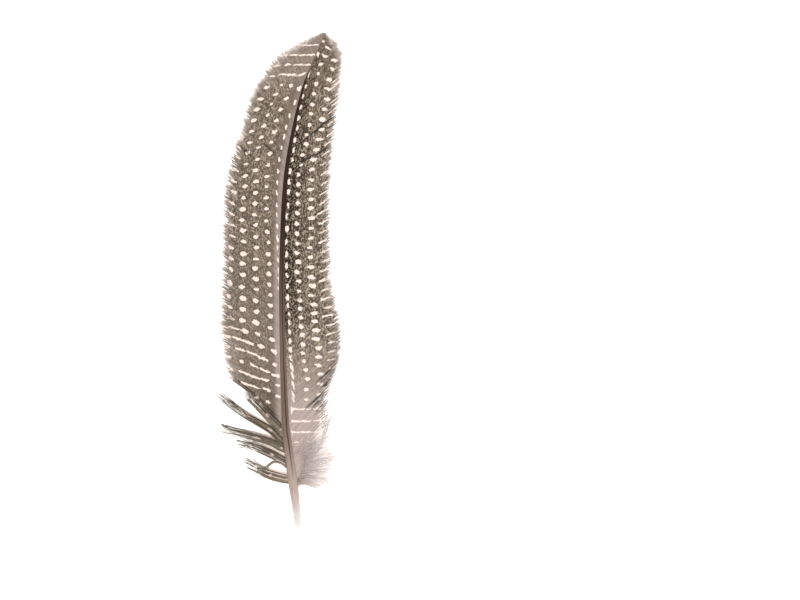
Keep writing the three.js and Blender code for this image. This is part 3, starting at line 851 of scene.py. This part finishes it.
def make_shaft(settings, material):
    """The shaft: a rounded section carried along its line, with a shallow furrow along its upper side where
    it bears the vanes. At the cut end the surface turns in to a small hollow."""
    rings, sides = 300, 32
    power = 2.4  # of the section: above 2 its sides are flatter than a circle's
    furrow_depth, furrow_angle, furrow_width = 0.09, 1.3, 0.2  # a share of the radius, and radians
    first_span = np.linalg.norm(SHAFT[1, :2] - SHAFT[0, :2]) * (len(SHAFT) - 1)
    edge = CUT_EDGE / first_span
    cut = np.array([(2.5, 0.01), (2.5, 0.3), (0.5, 0.42), (0, 0.74), (0.3, 0.94), (1, 1)])
    t = np.concatenate([cut[:, 0] * edge, np.linspace(3 * edge, 1, rings)])
    share = np.concatenate([cut[:, 1], np.ones(rings)])
    line = spline(SHAFT, t)
    _, across, above = directions(SHAFT_LINE[:, :3])
    at = np.rint(t * (len(FINE) - 1)).astype(int)
    across, above = across[at, None], above[at, None]
    angle = np.linspace(0, 2 * np.pi, sides, endpoint=False)
    squared = (np.abs(np.cos(angle)) ** power + np.abs(np.sin(angle)) ** power) ** (-1 / power)
    squared /= squared.max()
    bears = smooth((line[:, 1] + 78) / 12) * smooth((88 - line[:, 1]) / 30)
    furrow = 1 - furrow_depth * bears[:, None] * np.exp(-(((angle - furrow_angle) / furrow_width) ** 2))
    radius = (line[:, 3, None] / 2 * share[:, None] * squared * furrow)[..., None]
    turn = angle[:, None]
    points = line[:, None, :3] + radius * (np.cos(turn) * across + SHAFT_FLATNESS * np.sin(turn) * above)
    ids = np.arange(len(t) * sides).reshape(len(t), sides)
    turned = np.roll(ids, -1, 1)
    fours = np.stack([ids[:-1], ids[1:], turned[1:], turned[:-1]], -1).reshape(-1, 4)
    tip_fan = np.stack([np.full(sides - 2, ids[-1, 0]), ids[-1, 2:], ids[-1, 1:-1]], -1)
    root_fan = np.stack([np.full(sides - 2, ids[0, 0]), ids[0, 1:-1], ids[0, 2:]], -1)
    place = np.broadcast_to(line[:, 1, None], ids.shape)
    round_it = np.broadcast_to(np.cos(angle), ids.shape)
    upper = np.broadcast_to(np.sin(angle), ids.shape)
    values = {"round": np.stack([round_it, upper, place], -1).reshape(-1, 3)}
    faces = fours, np.concatenate([tip_fan, root_fan])
    piece = mesh_of("shaft", points.reshape(-1, 3), faces, {}, values, shade_smooth=True)
    finish_piece(piece, material)


def shaft_material(colours):
    """Keratin of the shaft: grown solid and smooth, so it has a dull gloss. It is dark over the upper half,
    brown below with a painted shade line along its furrow, has a painted highlight along its edge on the
    wide vane's side, and is clear horn at the quill."""
    material, tree, shader = new_material("smooth_keratin_shaft", 0.48, specular=0.08)
    round_it = add(tree, "Attribute", output="Vector", attribute_name="round")
    side, up, place = add(tree, "SeparateXYZ", [round_it], output=(0, 1, 2))
    upper = add(tree, "MapRange", [place, -30.0, 25.0], **EVEN)
    quill = add(tree, "MapRange", [place, -48.0, -86.0], **EVEN)
    end = add(tree, "MapRange", [place, -78.0, -92.0], **EVEN)
    brown = add(tree, "Mix", {0: upper, 6: colours.shaft_brown, 7: colours.shaft_dark_and_furrow_shade}, **MIX)
    bare = add(tree, "Mix", {0: quill, 6: brown, 7: colours.quill}, **MIX)
    horn = add(tree, "Mix", {0: end, 6: bare, 7: colours.quill_end_and_highlight}, **MIX)

    # Painted shade: a dark line along the furrow, down to the quill
    line_off = add(tree, "Math", [side, 0.27], operation="SUBTRACT")
    line_near = add(tree, "Math", [line_off], operation="ABSOLUTE")
    line = add(tree, "MapRange", [line_near, 0.24, 0.05], **EVEN)
    above = add(tree, "MapRange", [up, 0.0, 0.3, 0.0, 0.8])
    ends_low = add(tree, "MapRange", [place, -76.0, -62.0])
    line_above = add(tree, "Math", [line, above], operation="MULTIPLY")
    furrow_shade = add(tree, "Math", [line_above, ends_low], operation="MULTIPLY")
    lined = add(tree, "Mix", {0: furrow_shade, 6: horn, 7: colours.shaft_dark_and_furrow_shade}, **MIX)

    # Lengthwise grain, and a painted highlight as a pale edge on the wide vane's side, which fades out at
    # both ends
    object_place = add(tree, "TexCoord", output="Object")
    drawn_out = {"Vector": object_place, "Scale": (1 / (0.35 * MM), 1 / (9 * MM), 1 / (0.35 * MM))}
    stretched = add(tree, "Mapping", drawn_out)
    grain = add(tree, "TexNoise", {"Vector": stretched, "Scale": 1.0, "Detail": 3.0}, output="Fac")
    shade = add(tree, "MapRange", [grain, 0.3, 0.7, 0.82, 1.15])
    grained = add(tree, "VectorMath", {0: lined, "Scale": shade}, operation="SCALE")
    edge = add(tree, "MapRange", [side, -0.72, -0.85], **EVEN)
    upper_end = add(tree, "MapRange", [place, 40.0, 16.0])
    lower_end = add(tree, "MapRange", [place, -60.0, -30.0])
    highlight_middle = add(tree, "Math", [upper_end, lower_end], operation="MULTIPLY")
    edge_part = add(tree, "Math", [edge, highlight_middle], operation="MULTIPLY")
    edged = add(tree, "Mix", {0: edge_part, 6: grained, 7: colours.quill_end_and_highlight}, **MIX)
    thinnest = add(tree, "MapRange", [place, 73.0, 81.0], **EVEN)
    colour = add(tree, "Mix", {0: thinnest, 6: edged, 7: colours.ground}, **MIX)
    tree.links.new(colour, shader.inputs["Base Color"])
    bump = add(tree, "Bump", {"Strength": 0.25, "Distance": 0.05 * MM, "Height": grain})
    tree.links.new(bump, shader.inputs["Normal"])
    return material


def make_loose_locks(settings, material):
    """The torn locks: each is a ribbon of barbs along its line that narrows a little to its tip, where the
    barbs part, stray and end unevenly. Finer hairs among them stray further."""
    rng = np.random.default_rng(settings.seed + 10)
    steps = 18
    parts = []
    for lock, (width, number, line) in enumerate(LOOSE_LOCKS):
        total = number + number // 3
        fine = (np.arange(total) >= number)[:, None]
        end = 1.02 - 0.32 * rng.random((total, 1)) ** 2.2
        t = np.linspace(0, 1, steps) * end
        middle = spline(line, t)
        _, across, above = directions(middle)
        evenly = ((np.arange(total) + 0.5) / number - 0.5)[:, None]
        share = np.where(fine, rng.random((total, 1)) - 0.5, evenly)
        ribbon = 0.75 + 0.25 * np.sin(np.pi * np.minimum(1.3 * t, 1))
        stray = np.where(fine, 1.7, 0.8) * rng.standard_normal((total, 1)) * smooth((t - 0.4) / 0.6) ** 1.5
        wave = 0.12 * np.sin(9 * t + WHOLE_TURN * rng.random((total, 1))) * t
        paths = middle + across * (width * ribbon * share + stray + wave)[..., None]
        lift = 0.12 * rng.standard_normal((total, 1)) * np.sin(np.pi * t)
        lift += 0.4 * rng.random((total, 1)) * t**3
        paths += above * lift[..., None]
        paths[..., :2] = within_reach(paths[..., :2])
        paths[..., 2] = np.clip(paths[..., 2], *STRAND_HEIGHTS)
        thin = np.where(fine, 0.08, 1.9 * width / number) * (1 - 0.35 * smooth((t / end - 0.5) / 0.5))
        thin[:, -1] *= 0.3
        corners = strands(paths, thin, 0.6 * thin, 0.2)
        even = np.ones_like(t)
        place = np.stack([share * even, t, rng.random((total, 1)) * even], -1)
        depth = 0.35 if lock == len(LOOSE_LOCKS) - 1 else 1  # the lowest lock is paler than the others
        spots = np.stack([share * even, 3.2 * t + 0.41 * lock, depth * even], -1)
        parts.append((corners, {"lock": place[:, :, None], "spots": spots[:, :, None]}))
    points, faces, values = joined(parts)
    finish_piece(mesh_of("loose_locks", points, faces, {}, values), material)


def lock_material(colours):
    """Keratin barbs that have come unhooked: olive, dark and cream ones side by side, a painted shaded upper
    side, a few pale spots, and paler brown hairs at the tips."""
    material, tree, shader = new_material("frayed_keratin_barbs", 0.6, specular=0.18)
    lock = add(tree, "Attribute", output="Vector", attribute_name="lock")
    share, t, chance = add(tree, "SeparateXYZ", [lock], output=(0, 1, 2))
    stripes = add(tree, "Mapping", {"Vector": lock, "Scale": (4.0, 3.0, 2.0)})
    noise = add(tree, "TexNoise", {"Vector": stripes, "Scale": 1.0, "Detail": 2.0}, output="Fac")
    shady = add(tree, "MapRange", [noise, 0.45, 0.6])
    body = add(tree, "Mix", {0: shady, 6: colours.olive, 7: colours.ground}, **MIX)
    # The upper side is darkened as painted shade, with a cream rim near the shaft.
    painted_shade_side = add(tree, "MapRange", [share, 0.0, 0.25, 0.0, 0.5])
    dark_barb = add(tree, "MapRange", [chance, 0.72, 0.78, 0.0, 0.65])
    darkest = add(tree, "Math", [painted_shade_side, dark_barb], operation="MAXIMUM")
    spots = add(tree, "Attribute", output="Vector", attribute_name="spots")
    depth = add(tree, "SeparateXYZ", [spots], output="Z")
    dark_part = add(tree, "Math", [darkest, depth], operation="MULTIPLY")
    striped = add(tree, "Mix", {0: dark_part, 6: body, 7: colours.dark_ground_and_lock_shade}, **MIX)
    edge = add(tree, "MapRange", [share, 0.32, 0.38, 0.0, 0.95])
    cream_barb = add(tree, "MapRange", [chance, 0.12, 0.08, 0.0, 0.8])
    cream = add(tree, "Math", [edge, cream_barb], operation="MAXIMUM")
    inner = add(tree, "MapRange", [t, 0.75, 0.5])
    edge_part = add(tree, "Math", [cream, inner], operation="MULTIPLY")
    edged = add(tree, "Mix", {0: edge_part, 6: striped, 7: colours.spot}, **MIX)
    shifted = add(tree, "VectorMath", [spots, (0.5, 0.0, 0.0)], operation="ADD")
    part = add(tree, "VectorMath", [shifted], operation="FRACTION")
    spot_off = add(tree, "VectorMath", [part, (0.4, 0.5, 0)], operation="SUBTRACT")
    spot_flat = add(tree, "VectorMath", [spot_off, (1, 1, 0)], operation="MULTIPLY")
    spot_scaled = add(tree, "VectorMath", [spot_flat, (0.14, 0.11, 1)], operation="DIVIDE")
    radius = add(tree, "VectorMath", [spot_scaled], output="Value", operation="LENGTH")
    ragged = add(tree, "Math", [chance, 0.5, radius], operation="MULTIPLY_ADD")
    spot = add(tree, "MapRange", [ragged, 1.3, 0.9, 0.0, 0.7])
    spotted = add(tree, "Mix", {0: spot, 6: edged, 7: colours.spot}, **MIX)
    tip = add(tree, "MapRange", [t, 0.75, 1.05, 0.0, 0.5])
    colour = add(tree, "Mix", {0: tip, 6: spotted, 7: colours.ground}, **MIX)
    tree.links.new(colour, shader.inputs["Base Color"])
    return material


def down_strands(settings, rng):
    """The strands of down: they follow the tufts' lines and fan out between them in clumps, each to its own
    length, and sway and rise on the way."""
    number, steps = settings.down_strands, 12
    t = np.linspace(0, 1, steps)
    lines = np.stack([spline(line, t) for line in DOWN_LINES])
    evenly = np.linspace(0, 1, number)
    clumped = np.rint(evenly * 14) / 14
    pick = np.clip(0.6 * evenly + 0.4 * clumped + 0.03 * rng.standard_normal(number), 0, 1)
    end = 0.35 + 0.65 * rng.random((number, 1)) ** 0.75
    fan = np.stack([spline(lines[:, k], pick) for k in range(steps)], 1)
    reach = t * end
    between = reach * (steps - 1)
    k = np.minimum(between.astype(int), steps - 2)
    share = (between - k)[..., None]
    strand = np.arange(number)[:, None]
    paths = fan[strand, k] * (1 - share) + fan[strand, k + 1] * share
    _, across, _ = directions(paths)
    sway = rng.standard_normal((number, 2, 1)) * 0.8
    paths += across * (sway[:, 0] * t**2)[..., None]
    paths[..., 2] += 0.4 * np.abs(sway[:, 1]) * np.sin(np.pi * t)
    paths[..., 2] = np.clip(paths[..., 2], *STRAND_HEIGHTS)
    return paths, reach, end


def down_fringe(settings, rng, paths, end):
    """The hairs of the down: short curves that leave a strand on both sides at an angle and curl."""
    number, steps = paths.shape[:2]
    hairs = settings.down_hairs
    along, across, above = directions(paths)
    spot = 0.03 + 0.97 * rng.random((number, hairs))
    k = np.minimum((spot * (steps - 1)).astype(int), steps - 2)
    share = (spot * (steps - 1) - k)[..., None]
    strand = np.arange(number)[:, None]
    roots = paths[strand, k] * (1 - share) + paths[strand, k + 1] * share
    side = np.where(rng.random((number, hairs, 1)) < 0.5, -1.0, 1.0)
    angle = 0.1 + 0.7 * rng.random((number, hairs, 1)) ** 1.5
    lift = 0.2 * rng.standard_normal((number, hairs, 1))
    heading = along[strand, k] * np.cos(angle) + side * across[strand, k] * np.sin(angle)
    heading += above[strand, k] * lift
    length = 1.5 + 6.0 * rng.random((number, hairs, 1)) ** 1.5
    curl = rng.standard_normal((number, hairs, 1, 3)) * 0.6
    s = np.linspace(0, 1, 4)[:, None]
    curves = roots[:, :, None] + (heading * length)[:, :, None] * s + curl * s**2
    curves = curves.reshape(number * hairs, 4, 3)
    curves[..., 2] = np.clip(curves[..., 2], *HAIR_HEIGHTS)
    fine = np.broadcast_to(np.array([0.045, 0.04, 0.03, 0.012]), curves.shape[:2])
    faded = (spot * end * 0.8 + 0.1).reshape(-1, 1) + 0.3 * s[:, 0]
    return strands(curves, fine, fine), faded


def make_down(settings, material):
    """The down: strands with fine hairs on both sides, kept inside the solid's own reach."""
    rng = np.random.default_rng(settings.seed + 20)
    paths, reach, end = down_strands(settings, rng)
    thin = 0.13 - 0.09 * reach
    core = strands(paths, thin, thin)
    fringe, faded = down_fringe(settings, rng, paths, end)
    parts = []
    for corners, fade in ((core, 0.8 * reach), (fringe, faded)):
        chance = rng.random((len(corners), 1)) * np.ones_like(fade)
        parts.append((corners, {"fade": np.stack([fade, chance, 0 * fade], -1)[:, :, None]}))
    points, faces, values = joined(parts)
    points[:, :2] = within_reach(points[:, :2])
    finish_piece(mesh_of("down", points, faces, {}, values), material)


def down_material(colours):
    """Down keratin: fine unhooked hairs, matt and soft, greyish pink at the roots and white at the tips."""
    material, tree, shader = new_material("soft_down_keratin", 0.8, specular=0.1)
    read = add(tree, "Attribute", output="Vector", attribute_name="fade")
    fade, chance = add(tree, "SeparateXYZ", [read], output=(0, 1))
    mixed = add(tree, "Math", [chance, 0.5, fade], operation="MULTIPLY_ADD")
    share = add(tree, "MapRange", [mixed, 0.25, 0.9])
    colour = add(tree, "Mix", {0: share, 6: colours.down, 7: colours.down_tip}, **MIX)
    tree.links.new(colour, shader.inputs["Base Color"])
    return material


class FEATHER_OT_shaft(bpy.types.Operator):
    """Adds the shaft"""

    bl_idname = "feather.shaft"
    bl_label = "Shaft"

    def execute(self, context):
        make_shaft(context.scene.feather_shape, shaft_material(context.scene.feather_colours))
        return {"FINISHED"}


class FEATHER_OT_vanes(bpy.types.Operator):
    """Adds the wide and the narrow vane"""

    bl_idname = "feather.vanes"
    bl_label = "Vanes"

    def execute(self, context):
        material = vane_material(context.scene.feather_colours)
        make_vane(WIDE, "wide_vane", context.scene.feather_shape, material)
        make_vane(NARROW, "narrow_vane", context.scene.feather_shape, material)
        return {"FINISHED"}


class FEATHER_OT_loose_locks(bpy.types.Operator):
    """Adds the torn locks below the wide vane"""

    bl_idname = "feather.loose_locks"
    bl_label = "Loose locks"

    def execute(self, context):
        make_loose_locks(context.scene.feather_shape, lock_material(context.scene.feather_colours))
        return {"FINISHED"}


class FEATHER_OT_down(bpy.types.Operator):
    """Adds the down below the narrow vane"""

    bl_idname = "feather.down"
    bl_label = "Down"

    def execute(self, context):
        make_down(context.scene.feather_shape, down_material(context.scene.feather_colours))
        return {"FINISHED"}


class FEATHER_OT_stage(bpy.types.Operator):
    """Adds the white table, the soft light and the camera over it"""

    bl_idname = "feather.stage"
    bl_label = "Table, light and camera"

    def execute(self, context):
        scene = context.scene
        half, top = 1.5, -0.0002
        mesh = bpy.data.meshes.new("table")
        corners = [(x * half, y * half, top) for x, y in ((-1, -1), (1, -1), (1, 1), (-1, 1))]
        mesh.from_pydata(corners, [], [(0, 1, 2, 3)])
        table = bpy.data.objects.new("table", mesh)
        scene.collection.objects.link(table)
        # A lit white board, as the photograph's ground is white right up to the feather
        material, _, shader = new_material("lit_white_board", 0.9, ior=1.45)
        shader.inputs["Base Color"].default_value = scene.feather_colours.table
        shader.inputs["Emission Color"].default_value = (1, 1, 1, 1)
        shader.inputs["Emission Strength"].default_value = 0.6
        mesh.materials.append(material)

        world = bpy.data.worlds.new("studio")
        world.use_nodes = True
        world.node_tree.nodes["Background"].inputs["Color"].default_value = (1, 1, 1, 1)
        world.node_tree.nodes["Background"].inputs["Strength"].default_value = 0.92
        scene.world = world
        lights = (("key", (0.55, 0.35, 0.75), 0.6, 4.0), ("fill", (-0.6, -0.2, 0.9), 1.0, 2.0))
        for name, place, size, power in lights:
            light = bpy.data.lights.new(name, "AREA")
            light.shape = "DISK"
            light.size = size
            light.energy = power
            lamp = bpy.data.objects.new(name, light)
            lamp.location = place
            away = np.array(place)
            tilt = np.arccos(away[2] / np.linalg.norm(away))
            lamp.rotation_euler = (0, tilt, np.arctan2(away[1], away[0]))
            scene.collection.objects.link(lamp)

        # Straight above the middle of the photograph's frame, which is 296 mm wide on the table
        across, frame_middle, lens, sensor = 0.296, (0.04385, -0.0072), 100, 36
        camera = bpy.data.cameras.new("camera")
        camera.lens = lens
        camera.sensor_width = sensor
        camera.clip_end = 10
        eye = bpy.data.objects.new("camera", camera)
        eye.location = (*frame_middle, across * lens / sensor + 0.002)
        scene.collection.objects.link(eye)
        scene.camera = eye
        scene.view_settings.view_transform = "Standard"
        return {"FINISHED"}


class FEATHER_PT_panel(bpy.types.Panel):
    """Lists the feather's pieces, sizes and colours"""

    bl_idname = "FEATHER_PT_panel"
    bl_label = "Guinea fowl feather"
    bl_space_type = "VIEW_3D"
    bl_region_type = "UI"
    bl_category = "Feather"

    def draw(self, context):
        for operator in OPERATORS:
            self.layout.operator(operator.bl_idname)
        for settings in (context.scene.feather_shape, context.scene.feather_colours):
            for key in settings.__annotations__:
                self.layout.prop(settings, key)


OPERATORS = (FEATHER_OT_stage, FEATHER_OT_shaft, FEATHER_OT_vanes, FEATHER_OT_loose_locks, FEATHER_OT_down)
CLASSES = (FeatherShape, FeatherColours, *OPERATORS, FEATHER_PT_panel)


def register():
    for cls in CLASSES:
        bpy.utils.register_class(cls)
    bpy.types.Scene.feather_shape = bpy.props.PointerProperty(type=FeatherShape)
    bpy.types.Scene.feather_colours = bpy.props.PointerProperty(type=FeatherColours)


def unregister():
    del bpy.types.Scene.feather_shape
    del bpy.types.Scene.feather_colours
    for cls in reversed(CLASSES):
        bpy.utils.unregister_class(cls)


def main():
    register()
    bpy.ops.feather.stage()
    bpy.ops.feather.shaft()
    bpy.ops.feather.vanes()
    bpy.ops.feather.loose_locks()
    bpy.ops.feather.down()


if __name__ == "__main__":
    main()
